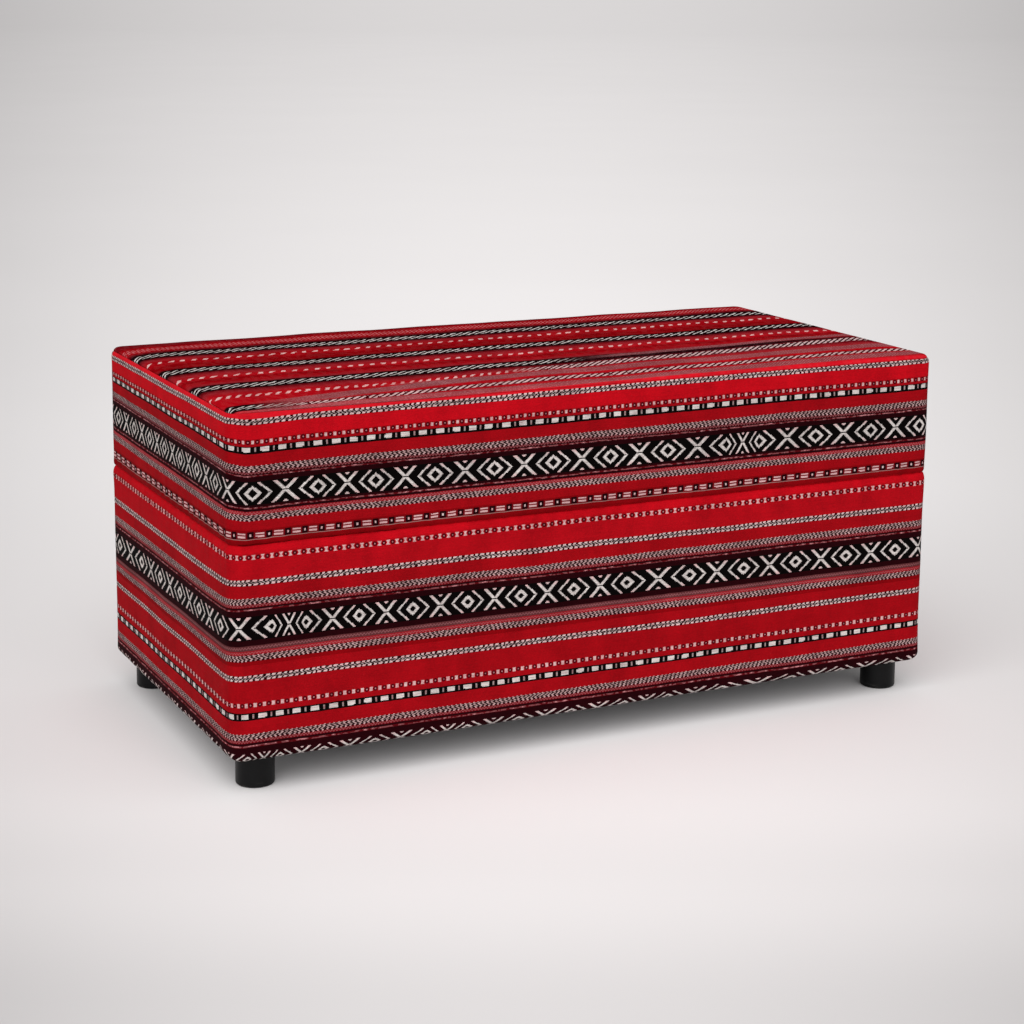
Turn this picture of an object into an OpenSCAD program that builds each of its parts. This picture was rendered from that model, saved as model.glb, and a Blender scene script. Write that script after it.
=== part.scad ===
// Upholstered ottoman: a boarded box on four round feet, a foam seat on its deck,
// and a woven cover of three sewn pieces drawn in along one seam round the body.
// Origin on the floor under the middle of the body, X along the length, -Y the front, +Z up.

/* [Body] */
// Length over the cover
body_l = 1000; // [700:10:1300]
// Depth over the cover, front to back
body_w = 500; // [380:10:700]
// Height of the upholstered body, without the feet
body_h = 430; // [340:10:520]
// Radius of the four upright corners of the cover
corner_r = 18; // [17:1:24]

/* [Cover] */
// Thickness of the woven cover
cover_t = 1.5; // [1:0.1:1.8]
// Radius of the cover's upper edge
top_edge_r = 13; // [12:1:16]
// Height of the upper seam on that bend, in degrees up from the wall
top_seam_angle = 35; // [15:5:75]
// Radius with which the cover turns under the base
base_edge_r = 9; // [6:1:11]
// Radius of the two folds that meet in the seam
seam_fold_r = 2; // [2:0.5:4]
// Width of the cover turned under the base, from the body's faces
turn_under_w = 30; // [24:1:38]

/* [Padding] */
// Thickness of the wadding on the seat and round the sides
wadding_t = 8.5; // [6:0.5:9.5]
// Thickness of the soft upper foam
topper_t = 30; // [20:5:50]
// Thickness of the firm lower foam
core_t = 105; // [60:5:120]

/* [Frame] */
// Thickness of the deck board under the foam
deck_t = 16; // [12:1:22]
// Thickness of the side boards and of the divider
board_t = 15; // [12:1:18]
// Width of the square corner posts
post_w = 36; // [32:1:50]

/* [Feet] */
// Diameter of a foot
foot_d = 48; // [40:1:60]
// Height of a foot
foot_h = 40; // [30:5:80]
// Radius of the rounding under a foot
foot_edge_r = 3; // [1:0.5:5]
// Wall of a foot
foot_wall = 3; // [2:0.5:4]
// Floor of a foot
foot_floor = 4; // [3:0.5:6]
// Diameter of the boss that holds the stud
boss_d = 18; // [14:1:24]
// Thickness of the ribs in a foot
rib_t = 2.5; // [1.5:0.5:4]
// Number of ribs in a foot
rib_count = 6; // [3:1:8]

/* [Underside] */
// Thickness of the black dust cover
dust_t = 0.8; // [0.5:0.1:1.2]
// Distance of the dust cover's edge from the body's faces
dust_inset = 12; // [11:1:14]

/* [Fixings] */
// Diameter of the studs that hold the feet
stud_d = 8; // [6:1:10]
// Length of a stud inside its foot
stud_in_foot = 24; // [15:1:25]
// Outer diameter of the threaded inserts in the posts
insert_d = 12; // [11:0.5:14]
// Length of the threaded inserts
insert_l = 20; // [12:1:25]
// Shank diameter of the wood screws
screw_d = 4; // [3:0.5:5]
// Head diameter of the wood screws
screw_head_d = 8; // [7:0.5:9]
// Length of the wood screws
screw_l = 40; // [32:1:45]
// Screws along each long side of the deck
deck_screw_count = 5; // [3:2:9]

/* [Hidden] */
$fn = 64;
// Clearance between the cover and the wadding inside it
soft_gap = 0.2;
// Clearance of a screw, a stud or an insert in its hole
hole_gap = 0.1;
// Wider hole of a stud in the dust cover and above the insert
stud_clearance = 0.5;
// Spare depth of the post's bore above the stud
bore_spare = 4;
// Overrun of cuts past a face
overrun = 1;
// Rounding of the dust cover's corners
dust_r = 6;
// Distance of the last deck screws from the frame's ends
deck_screw_end = 60;
// Heights of the panel screws, as shares of the panel's height
long_screw_shares = [0.15, 0.8];
end_screw_shares = [0.25, 0.7];
divider_screw_shares = [0.3, 0.65];

side_t = cover_t + wadding_t;
base_z = foot_h + dust_t;
top_z = base_z + body_h;
frame_z = base_z + cover_t;
seam_z = top_z - side_t - topper_t - core_t - deck_t;
deck_z = seam_z + deck_t;
panel_h = seam_z - frame_z;
frame_l = body_l - 2 * side_t;
frame_w = body_w - 2 * side_t;
frame_r = corner_r - side_t;
inner_l = frame_l - 2 * board_t;
inner_w = frame_w - 2 * board_t;
post_x = inner_l / 2 - post_w / 2;
post_y = inner_w / 2 - post_w / 2;
foot_r = foot_d / 2;
stud_l = stud_in_foot + dust_t + cover_t + insert_l;
screw_head_h = (screw_head_d - screw_d) / 2;
liner_r = corner_r - cover_t - soft_gap;

fabric_red = [0.72, 0.05, 0.09];
wadding_white = [0.93, 0.93, 0.9];
foam_cream = [0.93, 0.87, 0.66];
foam_blue = [0.55, 0.7, 0.8];
ply_tan = [0.78, 0.62, 0.42];
pine_pale = [0.87, 0.74, 0.53];
plastic_black = [0.05, 0.05, 0.05];
felt_black = [0.1, 0.1, 0.11];
steel_grey = [0.7, 0.71, 0.73];

// Rectangle with round corners, centred on the origin
module rounded_rect(l, w, r) {
    square([l - 2 * r, w], center = true);
    square([l, w - 2 * r], center = true);
    for (sx = [-1, 1], sy = [-1, 1])
        translate([sx * (l / 2 - r), sy * (w / 2 - r)]) circle(r);
}

// Plate with round corners that stands on height z
module plate(l, w, r, t, z) {
    translate([0, 0, z]) linear_extrude(t) rounded_rect(l, w, r);
}

// Carries a wall section round the body. Its x is measured out from the corners' centres
module around_body() {
    for (a = [0, 180])
        rotate([0, 0, a]) translate([body_l / 2 - corner_r, 0, 0])
            rotate([90, 0, 0]) linear_extrude(body_w - 2 * corner_r, center = true) children();
    for (a = [90, 270])
        rotate([0, 0, a]) translate([body_w / 2 - corner_r, 0, 0])
            rotate([90, 0, 0]) linear_extrude(body_l - 2 * corner_r, center = true) children();
    for (sx = [-1, 1], sy = [-1, 1])
        translate([sx * (body_l / 2 - corner_r), sy * (body_w / 2 - corner_r), 0])
            rotate([0, 0, atan2(sy, sx) - 45]) rotate_extrude(angle = 90) children();
}

// Round bend of the cover between two angles from the wall towards the body's middle.
// up is 1 where the bend climbs from z to z + r, and -1 where it drops
module cover_bend(r, z, up, from = 0, to = 90) {
    translate([corner_r - r, z]) intersection() {
        difference() {
            circle(r);
            circle(r - cover_t);
        }
        polygon([[0, 0], 2 * r * [cos(from), up * sin(from)], 2 * r * [cos(to), up * sin(to)]]);
    }
}

// Straight upright stretch of the cover
module cover_wall(low, high) {
    translate([corner_r - cover_t, low]) square([cover_t, high - low]);
}

// Edge of a cover piece that is turned into the seam and meets the frame
module seam_tab(z) {
    translate([corner_r - side_t, z]) square([side_t - seam_fold_r, cover_t]);
}

module top_panel() {
    color(fabric_red) {
        plate(body_l - 2 * top_edge_r, body_w - 2 * top_edge_r, corner_r - top_edge_r,
              cover_t, top_z - cover_t);
        around_body() cover_bend(top_edge_r, top_z - top_edge_r, 1, from = top_seam_angle);
    }
}

module seat_border() {
    color(fabric_red) around_body() {
        cover_bend(top_edge_r, top_z - top_edge_r, 1, to = top_seam_angle);
        cover_wall(seam_z + seam_fold_r, top_z - top_edge_r);
        cover_bend(seam_fold_r, seam_z + seam_fold_r, -1);
        seam_tab(seam_z);
    }
}

module base_border() {
    color(fabric_red) {
        around_body() {
            cover_wall(base_z + base_edge_r, seam_z - seam_fold_r);
            cover_bend(seam_fold_r, seam_z - seam_fold_r, 1);
            seam_tab(seam_z - cover_t);
            cover_bend(base_edge_r, base_z + base_edge_r, -1);
        }
        difference() {
            plate(body_l - 2 * base_edge_r, body_w - 2 * base_edge_r, corner_r - base_edge_r,
                  cover_t, base_z);
            translate([0, 0, base_z - overrun]) linear_extrude(cover_t + 2 * overrun)
                square([body_l - 2 * turn_under_w, body_w - 2 * turn_under_w], center = true);
        }
    }
}

// Wadding over the foam: a plate, a round crown and a skirt down to the seam
module seat_wadding() {
    crown_r = top_edge_r - cover_t - soft_gap;
    crown_x = corner_r - top_edge_r;
    crown_z = top_z - top_edge_r;
    low = seam_z + cover_t;
    color(wadding_white) {
        plate(body_l - 2 * top_edge_r, body_w - 2 * top_edge_r, crown_x,
              wadding_t - soft_gap, top_z - side_t);
        around_body() difference() {
            union() {
                translate([crown_x, low]) square([crown_r, crown_z - low]);
                translate([crown_x, crown_z]) intersection() {
                    circle(crown_r);
                    square(crown_r);
                }
            }
            translate([crown_x - overrun, low - overrun])
                square([frame_r - crown_x + overrun, top_z - side_t - low + overrun]);
        }
    }
}

module foam_topper() {
    color(foam_cream) plate(frame_l, frame_w, frame_r, topper_t, deck_z + core_t);
}

module foam_core() {
    color(foam_blue) plate(frame_l, frame_w, frame_r, core_t, deck_z);
}

module base_wadding() {
    heel_r = base_edge_r - cover_t - soft_gap;
    low = frame_z + soft_gap;
    high = seam_z - cover_t;
    color(wadding_white) around_body() {
        translate([frame_r, low + heel_r]) square([liner_r - frame_r, high - low - heel_r]);
        translate([frame_r, low]) square([liner_r - heel_r - frame_r, high - low]);
        translate([liner_r - heel_r, low + heel_r]) intersection() {
            circle(heel_r);
            translate([0, -heel_r]) square(heel_r);
        }
    }
}

// Countersunk wood screw with its head flush at the origin, pointing down
module screw(gap = 0) {
    translate([0, 0, -screw_head_h])
        cylinder(h = screw_head_h, d1 = screw_d + 2 * gap, d2 = screw_head_d + 2 * gap);
    translate([0, 0, -screw_l + screw_d])
        cylinder(h = screw_l - screw_d - screw_head_h, d = screw_d + 2 * gap);
    translate([0, 0, -screw_l - gap])
        cylinder(h = screw_d + gap, d1 = gap, d2 = screw_d + 2 * gap);
}

// Places of the deck screws: along both long sides, at each end and in the divider
function deck_screw_places() = concat(
    [for (i = [0 : deck_screw_count - 1], sy = [-1, 1])
        [(frame_l / 2 - deck_screw_end) * (2 * i / (deck_screw_count - 1) - 1),
         sy * (frame_w - board_t) / 2]],
    [for (sx = [-1, 0, 1]) [sx * (frame_l - board_t) / 2, 0]]
);

module each_deck_screw() {
    for (p = deck_screw_places()) translate([p.x, p.y, deck_z]) children();
}

// Screws through a long side's board, into the posts and the divider
module each_long_screw(sy) {
    for (share = long_screw_shares, sx = [-1, 1])
        translate([sx * post_x, sy * frame_w / 2, frame_z + share * panel_h])
            rotate([-90 * sy, 0, 0]) children();
    for (share = divider_screw_shares)
        translate([0, sy * frame_w / 2, frame_z + share * panel_h])
            rotate([-90 * sy, 0, 0]) children();
}

// Screws through an end's board, into the posts
module each_end_screw(sx) {
    for (share = end_screw_shares, sy = [-1, 1])
        translate([sx * frame_l / 2, sy * post_y, frame_z + share * panel_h])
            rotate([0, 90 * sx, 0]) children();
}

module each_panel_screw() {
    for (s = [-1, 1]) {
        each_long_screw(s) children();
        each_end_screw(s) children();
    }
}

module deck_board() {
    color(ply_tan) difference() {
        plate(frame_l, frame_w, frame_r, deck_t, seam_z);
        each_deck_screw() screw(hole_gap);
    }
}

module long_panel(sy) {
    color(ply_tan) difference() {
        translate([0, 0, frame_z]) linear_extrude(panel_h) intersection() {
            rounded_rect(frame_l, frame_w, frame_r);
            translate([0, sy * (frame_w - board_t) / 2]) square([frame_l, board_t], center = true);
        }
        each_long_screw(sy) screw(hole_gap);
        each_deck_screw() screw(hole_gap);
    }
}

module end_panel(sx) {
    color(ply_tan) difference() {
        translate([sx * (frame_l - board_t) / 2, 0, frame_z + panel_h / 2])
            cube([board_t, inner_w, panel_h], center = true);
        each_end_screw(sx) screw(hole_gap);
        each_deck_screw() screw(hole_gap);
    }
}

module front_panel() { long_panel(-1); }
module back_panel() { long_panel(1); }
module left_panel() { end_panel(-1); }
module right_panel() { end_panel(1); }

module centre_divider() {
    color(ply_tan) difference() {
        translate([0, 0, frame_z + panel_h / 2]) cube([board_t, inner_w, panel_h], center = true);
        for (s = [-1, 1]) each_long_screw(s) screw(hole_gap);
        each_deck_screw() screw(hole_gap);
    }
}

// Square post in a corner of the frame, bored from below for the insert and the stud
module post(sx, sy) {
    bore_h = insert_l + bore_spare;
    color(pine_pale) difference() {
        translate([sx * post_x, sy * post_y, frame_z + panel_h / 2])
            cube([post_w, post_w, panel_h], center = true);
        translate([sx * post_x, sy * post_y, frame_z - overrun]) {
            cylinder(h = insert_l + overrun, d = insert_d + 2 * hole_gap);
            cylinder(h = bore_h + overrun, d = stud_d + 2 * stud_clearance);
        }
        each_long_screw(sy) screw(hole_gap);
        each_end_screw(sx) screw(hole_gap);
    }
}

module front_left_post() { post(-1, -1); }
module front_right_post() { post(1, -1); }
module back_left_post() { post(-1, 1); }
module back_right_post() { post(1, 1); }

module each_corner() {
    for (sx = [-1, 1], sy = [-1, 1]) translate([sx * post_x, sy * post_y, 0]) children();
}

module dust_cover() {
    color(felt_black) difference() {
        plate(body_l - 2 * dust_inset, body_w - 2 * dust_inset, dust_r, dust_t, foot_h);
        each_corner() translate([0, 0, foot_h - overrun])
            cylinder(h = dust_t + 2 * overrun, d = stud_d + 2 * stud_clearance);
    }
}

// Moulded foot: a cup with a round heel, a ribbed boss and the bore that takes the stud
module foot(sx, sy) {
    cup_r = foot_r - foot_wall;
    color(plastic_black) translate([sx * post_x, sy * post_y, 0]) difference() {
        union() {
            difference() {
                rotate_extrude() {
                    translate([0, foot_edge_r]) square([foot_r, foot_h - foot_edge_r]);
                    square([foot_r - foot_edge_r, foot_h]);
                    translate([foot_r - foot_edge_r, foot_edge_r]) circle(foot_edge_r);
                }
                translate([0, 0, foot_floor]) cylinder(h = foot_h, r = cup_r);
            }
            cylinder(h = foot_h, d = boss_d);
            for (i = [0 : rib_count - 1])
                rotate([0, 0, i * 360 / rib_count]) translate([0, -rib_t / 2, foot_floor / 2])
                    cube([foot_r - foot_wall / 2, rib_t, foot_h - foot_floor / 2]);
        }
        translate([0, 0, foot_h - stud_in_foot - hole_gap])
            cylinder(h = stud_in_foot + hole_gap + overrun, d = stud_d + 2 * hole_gap);
    }
}

module front_left_foot() { foot(-1, -1); }
module front_right_foot() { foot(1, -1); }
module back_left_foot() { foot(-1, 1); }
module back_right_foot() { foot(1, 1); }

module foot_studs() {
    color(steel_grey) each_corner() translate([0, 0, foot_h - stud_in_foot])
        cylinder(h = stud_l, d = stud_d);
}

module threaded_inserts() {
    color(steel_grey) each_corner() translate([0, 0, frame_z]) difference() {
        cylinder(h = insert_l, d = insert_d);
        translate([0, 0, -overrun])
            cylinder(h = insert_l + 2 * overrun, d = stud_d + 2 * hole_gap);
    }
}

module deck_screws() {
    color(steel_grey) each_deck_screw() screw();
}

module panel_screws() {
    color(steel_grey) each_panel_screw() screw();
}

top_panel();
seat_border();
base_border();
seat_wadding();
foam_topper();
foam_core();
base_wadding();
deck_board();
front_panel();
back_panel();
left_panel();
right_panel();
centre_divider();
front_left_post();
front_right_post();
back_left_post();
back_right_post();
dust_cover();
front_left_foot();
front_right_foot();
back_left_foot();
back_right_foot();
foot_studs();
threaded_inserts();
deck_screws();
panel_screws();
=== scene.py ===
import math

import bpy
import numpy as np
from mathutils import Matrix, Vector


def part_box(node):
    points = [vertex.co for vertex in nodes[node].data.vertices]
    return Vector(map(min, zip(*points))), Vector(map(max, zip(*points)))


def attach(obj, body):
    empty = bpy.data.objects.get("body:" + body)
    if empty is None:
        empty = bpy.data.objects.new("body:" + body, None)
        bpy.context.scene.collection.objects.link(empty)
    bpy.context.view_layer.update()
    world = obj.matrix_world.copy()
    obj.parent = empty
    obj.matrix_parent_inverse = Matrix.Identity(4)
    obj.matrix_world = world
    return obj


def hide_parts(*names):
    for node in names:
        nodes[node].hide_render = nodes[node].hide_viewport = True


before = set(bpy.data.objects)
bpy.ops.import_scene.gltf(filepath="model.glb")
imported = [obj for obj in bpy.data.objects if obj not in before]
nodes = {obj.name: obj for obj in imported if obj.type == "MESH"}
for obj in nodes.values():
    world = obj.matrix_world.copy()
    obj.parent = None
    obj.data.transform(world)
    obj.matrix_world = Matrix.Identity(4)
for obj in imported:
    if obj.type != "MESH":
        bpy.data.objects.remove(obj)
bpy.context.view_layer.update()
scene = bpy.context.scene
mm = 0.001
print("frame loaded with", len(nodes), "nodes")


# an operator of Value, made from the Math node that it stands for; swapped is for a number on the left
def mathNode(operation, swapped=False):
    if swapped:
        return lambda self, other: self.maker.calc(operation, other, self)
    return lambda self, other: self.maker.calc(operation, self, other)


# a number in a node tree; sums and comparisons with it add nodes, where | is the larger and & the smaller
class Value:
    def __init__(self, maker, socket):
        self.maker = maker
        self.socket = socket

    __add__ = mathNode("ADD")
    __radd__ = mathNode("ADD", True)
    __sub__ = mathNode("SUBTRACT")
    __rsub__ = mathNode("SUBTRACT", True)
    __mul__ = mathNode("MULTIPLY")
    __rmul__ = mathNode("MULTIPLY", True)
    __truediv__ = mathNode("DIVIDE")
    __gt__ = mathNode("GREATER_THAN")
    __lt__ = mathNode("LESS_THAN")
    __or__ = mathNode("MAXIMUM")
    __and__ = mathNode("MINIMUM")

    def __abs__(self):
        return self.maker.calc("ABSOLUTE", self)

    # held between 0 and 1
    def clamp(self):
        return (self & 1.0) | 0.0

    # distance from the nearest whole multiple of a period, once shifted
    def fold(self, period, shift=0.0):
        return self.maker.calc("PINGPONG", self + (50 * period - shift), period / 2)

    # place within a period, from 0 to 1
    def part(self, period):
        return self.maker.calc("FRACT", self / period + 500)


# One material. make() adds any node from its type, its settings and its sockets' values or links, and gives
# the output of a number, or every output when that is None.
class Finish:
    def __init__(self, name):
        self.material = bpy.data.materials.new(name)
        self.material.use_nodes = True
        self.tree = self.material.node_tree
        self.tree.nodes.clear()

    def make(self, kind, settings, sockets, output=0):
        node = self.tree.nodes.new(kind)
        for key, value in settings.items():
            if key == "stops":
                elements = node.color_ramp.elements
                while len(elements) > 1:
                    elements.remove(elements[-1])
                elements[0].position = value[0][0]
                elements[0].color = value[0][1]
                for place, colour in value[1:]:
                    elements.new(place).color = colour
            elif key == "blend":
                node.color_ramp.interpolation = value
            else:
                setattr(node, key, value)
        for key, value in sockets.items():
            if isinstance(value, Value):
                self.tree.links.new(value.socket, node.inputs[key])
            else:
                node.inputs[key].default_value = value
        if output is None:
            return [Value(self, s) for s in node.outputs]
        return Value(self, node.outputs[output])

    # one Math node: first operation second
    def calc(self, operation, first, second=0.0):
        return self.make("ShaderNodeMath", {"operation": operation}, {0: first, 1: second})

    # first * (1 - factor) + second * factor
    def mix(self, factor, first, second):
        return self.make("ShaderNodeMix", {"data_type": "RGBA"}, {0: factor, 6: first, 7: second}, 2)

    # colour * amount
    def shade(self, colour, amount):
        return self.make("ShaderNodeVectorMath", {"operation": "SCALE"}, {0: colour, 3: amount})

    # the colour of the last stop passed between low and high, or one blended from stop to stop
    def ramp(self, value, low, high, stops, blend="CONSTANT"):
        placed = [((s - low) / (high - low), c) for s, c in stops]
        share = (value - low) / (high - low)
        return self.make("ShaderNodeValToRGB", {"stops": placed, "blend": blend}, {0: share})

    # the three parts of a place, or with "Color" those of a colour
    def split(self, vector, kind="XYZ"):
        return self.make("ShaderNodeSeparate" + kind, {}, {0: vector}, None)

    # noise whose scale is one number, or one for each axis
    def noise(self, vector, scale, detail=2.0, roughness=0.5):
        if isinstance(scale, tuple):
            vector = self.make("ShaderNodeMapping", {}, {"Vector": vector, "Scale": scale})
            scale = 1.0
        inputs = {"Vector": vector, "Scale": scale, "Detail": detail, "Roughness": roughness}
        return self.make("ShaderNodeTexNoise", {}, inputs)

    # distance from the middle of the nearest cell
    def cells(self, vector, scale, randomness):
        inputs = {"Vector": vector, "Scale": scale, "Randomness": randomness}
        return self.make("ShaderNodeTexVoronoi", {"feature": "F1"}, inputs)

    # the cloth's own map, and its ways along and down in mm
    def weave(self):
        uvMap = self.make("ShaderNodeUVMap", {"uv_map": "weave"}, {})
        parts = self.split(uvMap)
        return uvMap, parts[0] * 1000, parts[1] * 1000

    # place on the object in metres, which is output 3 of this node
    def objectPlace(self):
        return self.make("ShaderNodeTexCoord", {}, {}, 3)

    # the whole surface; relief holds the bump's height, strength and distance
    def finish(self, colour, rough, specular=0.5, relief=None, metallic=0.0, sheen=0.0):
        sockets = {"Base Color": colour, "Roughness": rough, "Specular IOR Level": specular,
                   "Metallic": metallic, "Sheen Weight": sheen}
        if relief:
            bump = dict(zip(("Height", "Strength", "Distance"), relief))
            sockets["Normal"] = self.make("ShaderNodeBump", {}, bump)
        surface = self.make("ShaderNodeBsdfPrincipled", {}, sockets)
        self.make("ShaderNodeOutputMaterial", {}, {"Surface": surface}, None)
        return self.material


# the linear colour of a dye named as it looks on screen, 0 to 255
def dye(red, green, blue):
    linear = [c / 255 / 12.92 if c < 10.3 else ((c / 255 + 0.055) / 1.055) ** 2.4 for c in (red, green, blue)]
    return (*linear, 1.0)


# camera, solved from the photograph's lines: across, forward and up are turned by yaw, pitch and roll
camera = {"lens": 77.27, "sensor": 36.0, "rows": 1024, "centreRow": 358.0, "farthest": 500.0,
          "yaw": 26.16, "pitch": 9.71, "roll": -0.55, "place": (-1.3031, -2.6257, 0.9604)}


def makeCamera(care):
    data = bpy.data.cameras.new("camera")
    data.lens = care["lens"]
    data.sensor_width = care["sensor"]
    data.sensor_fit = "HORIZONTAL"
    data.shift_y = care["centreRow"] / care["rows"] - 0.5
    data.clip_end = care["farthest"]
    yaw, pitch, roll = [math.radians(care[key]) for key in ("yaw", "pitch", "roll")]
    level = Vector((math.cos(yaw), -math.sin(yaw), 0))
    forward = Vector((math.sin(yaw) * math.cos(pitch), math.cos(yaw) * math.cos(pitch), -math.sin(pitch)))
    upright = level.cross(forward)
    across = level * math.cos(roll) - upright * math.sin(roll)
    up = level * math.sin(roll) + upright * math.cos(roll)
    turn = Matrix((across, up, -forward)).transposed()
    made = bpy.data.objects.new("camera", data)
    made.matrix_world = Matrix.Translation(Vector(care["place"])) @ turn.to_4x4()
    scene.collection.objects.link(made)
    scene.camera = made


makeCamera(camera)
scene.view_settings.view_transform = "Standard"

# floor and light: the floor's tone by distance along the view from the body's middle, and its fall to the
# sides, which paint a pool of light on the floor and shade towards the camera, far off and to the sides
studio = {
    "paintedLightTones": [(-3.0, 208), (-1.0, 221), (-0.68, 238), (-0.43, 247), (1.0, 240), (3.2, 233), (5.0, 229),
              (9.0, 223), (18.0, 217), (40.0, 211)],
    "paintedSideShade": 31.0, "lensAway": 3.03, "reach": 0.255, "floorLift": 1.07, "floorTint": (0.972, 0.976),
    "cloudy": 0.012, "floorEnd": 160.0,
    "overhead": {"spread": 90.0, "strength": 2.25, "lean": (-0.8, -1.25, 1.0)},
    "air": (1.0, 0.995, 0.985, 1.0), "airStrength": 0.6,
}


# Floor tone = tone along the view - side fall * (distance from its line / a reach that widens)^2, made
# linear:
# a painted pool of light that darkens to the sides
def floorFinish(care):
    m = Finish("pale studio floor")
    x, y = m.split(m.objectPlace())[:2]
    yaw = math.radians(camera["yaw"])
    along = x * math.sin(yaw) + y * math.cos(yaw)
    side = x * math.cos(yaw) - y * math.sin(yaw)
    stops = [(place, ((tone / 255),) * 3 + (1.0,)) for place, tone in care["paintedLightTones"]]
    near = m.ramp(along, -3.0, 5.0, [s for s in stops if s[0] <= 5.0], "EASE")
    far = m.ramp(along, 5.0, 40.0, [s for s in stops if s[0] >= 5.0], "LINEAR")
    tone = m.split(m.mix(along > 5.0, near, far), "Color")[0]
    away = along + care["lensAway"]
    across = side / (m.calc("SQRT", away * away + 1.2) * care["reach"])
    tone = tone - ((across * across) & 1.6) * (care["paintedSideShade"] / 255)
    tone = tone + (m.noise(m.objectPlace(), 0.9, 3.0) - 0.5) * care["cloudy"]
    linear = m.calc("POWER", tone, 2.25) * care["floorLift"]
    green, blue = [linear * part for part in care["floorTint"]]
    return m.finish(m.make("ShaderNodeCombineColor", {}, {0: linear, 1: green, 2: blue}), 0.9, 0.0)


# a wide floor, one broad lamp that leans to the left and the front, and a plain sky
def makeStudio(care):
    mesh = bpy.data.meshes.new("floor")
    far = care["floorEnd"]
    mesh.from_pydata([(-far, -far, 0), (far, -far, 0), (far, far, 0), (-far, far, 0)], [], [(0, 1, 2, 3)])
    floor = bpy.data.objects.new("floor", mesh)
    mesh.materials.append(floorFinish(care))
    scene.collection.objects.link(floor)
    lamp = bpy.data.lights.new("overhead", "SUN")
    lamp.angle = math.radians(care["overhead"]["spread"])
    lamp.energy = care["overhead"]["strength"]
    made = bpy.data.objects.new("overhead", lamp)
    made.rotation_euler = Vector(care["overhead"]["lean"]).to_track_quat("Z", "Y").to_euler()
    scene.collection.objects.link(made)
    world = bpy.data.worlds.new("studio air")
    world.use_nodes = True
    air = world.node_tree.nodes["Background"].inputs
    air["Color"].default_value = care["air"]
    air["Strength"].default_value = care["airStrength"]
    scene.world = world


makeStudio(studio)
print("camera, floor and light made")


# a sum of sine waves along one or two coordinates, with seeded lengths, ways and phases; about 1 high
def ripples(seed, waves, length, *places):
    draw = np.random.default_rng(seed)
    total = 0
    for wave in range(waves):
        turn = draw.uniform(0, 2 * math.pi)
        scale = 2 * math.pi / (length * draw.uniform(0.7, 1.5))
        ways = [1.0] if len(places) == 1 else [math.cos(turn), math.sin(turn)]
        total = total + np.sin(sum(p * w * scale for p, w in zip(places, ways)) + draw.uniform(0, 6.3))
    return total / math.sqrt(waves)


# outward unit normals of a grid of points, from the cross product of its row and column directions
def gridNormals(points, closed):
    if closed:
        along = np.roll(points, -1, 1) - np.roll(points, 1, 1)
    else:
        along = np.gradient(points, axis=1)
    down = np.gradient(points, axis=0)
    normal = np.cross(down, along)
    return normal / np.maximum(np.linalg.norm(normal, axis=2, keepdims=True), 1e-9)


# row and column of the four corners of each quad of a grid; a closed grid runs round and meets itself
def gridQuads(rows, cols, closed):
    r, c = np.meshgrid(np.arange(rows - 1), np.arange(cols if closed else cols - 1), indexing="ij")
    r, c = r.ravel(), c.ravel()
    return np.stack([r, r + 1, r + 1, r], 1), np.stack([c, c, c + 1, c + 1], 1)


# One closed mesh from an outer and an inner grid of points: quads on both, and strips that join their rims.
# The outward side is that of gridNormals.
def shellPiece(name, outer, inner, uv, closed, finish):
    rows, cols = outer.shape[:2]
    corner, column = gridQuads(rows, cols, closed)
    front = corner * cols + column % cols
    faces = [front, (front + rows * cols)[:, ::-1]]
    places = [np.stack([corner, column], 2), np.stack([corner, column], 2)[:, ::-1]]

    # quads that join the two grids along one rim, from its points a to their neighbours b
    def rim(rowA, colA, rowB, colB):
        place = np.stack([np.stack([rowA, rowB, rowB, rowA], 1), np.stack([colA, colB, colB, colA], 1)], 2)
        faces.append(place[..., 0] * cols + place[..., 1] % cols + np.array([0, 0, 1, 1]) * rows * cols)
        places.append(place)

    k = np.arange(cols if closed else cols - 1)
    rim(0 * k, k, 0 * k, k + 1)
    rim(0 * k + rows - 1, k + 1, 0 * k + rows - 1, k)
    if not closed:
        j = np.arange(rows - 1)
        rim(j + 1, 0 * j, j, 0 * j)
        rim(j, 0 * j + cols - 1, j + 1, 0 * j + cols - 1)
    faces = np.concatenate(faces)
    places = np.concatenate(places).reshape(-1, 2)
    points = np.concatenate([outer.reshape(-1, 3), inner.reshape(-1, 3)])
    return meshPiece(name, points, faces, uv[places[:, 0], places[:, 1]], finish)


# a mesh object from arrays of points, quads and one uv pair for each corner of each quad
def meshPiece(name, points, faces, uv, finish, smooth=True):
    mesh = bpy.data.meshes.new(name)
    mesh.vertices.add(len(points))
    mesh.vertices.foreach_set("co", points.astype(np.float32).ravel())
    mesh.loops.add(faces.size)
    mesh.loops.foreach_set("vertex_index", faces.astype(np.int32).ravel())
    mesh.polygons.add(len(faces))
    mesh.polygons.foreach_set("loop_start", np.arange(0, faces.size, faces.shape[1], dtype=np.int32))
    mesh.polygons.foreach_set("loop_total", np.full(len(faces), faces.shape[1], np.int32))
    mesh.update(calc_edges=True)
    if uv is not None:
        layer = mesh.uv_layers.new(name="weave")
        layer.data.foreach_set("uv", uv.astype(np.float32).ravel())
    mesh.polygons.foreach_set("use_smooth", np.full(len(faces), smooth))
    mesh.materials.append(finish)
    mesh.validate()
    made = bpy.data.objects.new(name, mesh)
    scene.collection.objects.link(made)
    return made


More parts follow.
